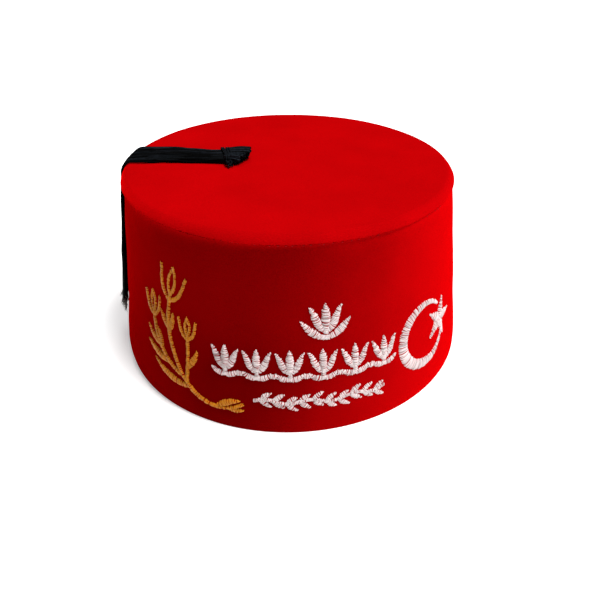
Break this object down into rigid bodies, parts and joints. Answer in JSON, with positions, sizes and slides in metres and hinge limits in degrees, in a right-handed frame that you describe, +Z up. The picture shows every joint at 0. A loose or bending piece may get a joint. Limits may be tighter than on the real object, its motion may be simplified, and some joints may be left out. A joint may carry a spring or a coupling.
{
  "type": "fez hat",
  "caption": "Low tapered velvet fez with a flat top, a black thread tassel over the rim and embroidery on the front.",
  "frame": {"origin": "centre of the hat's lower edge, in the plane that it stands on", "axes": "+Z up; the embroidered front faces -Y; the tassel hangs down the -X side"},
  "size_m": [0.1917, 0.1898, 0.1026],
  "materials": {
    "velvet": "short-pile red velvet, matt with a soft sheen at grazing angles",
    "tassel_thread": "black twisted thread, slightly glossy",
    "gold_thread": "gold-coloured embroidery thread, satin",
    "white_thread": "white embroidery thread, satin"
  },
  "bodies": {
    "root": {"crown_side": "velvet", "crown_top": "velvet", "tassel": "tassel_thread", "tassel_binding": "tassel_thread", "gold_spray": "gold_thread", "white_palmette": "white_thread", "white_border": "white_thread", "white_garland": "white_thread", "crescent_and_star": "white_thread"}
  },
  "joints": []
}
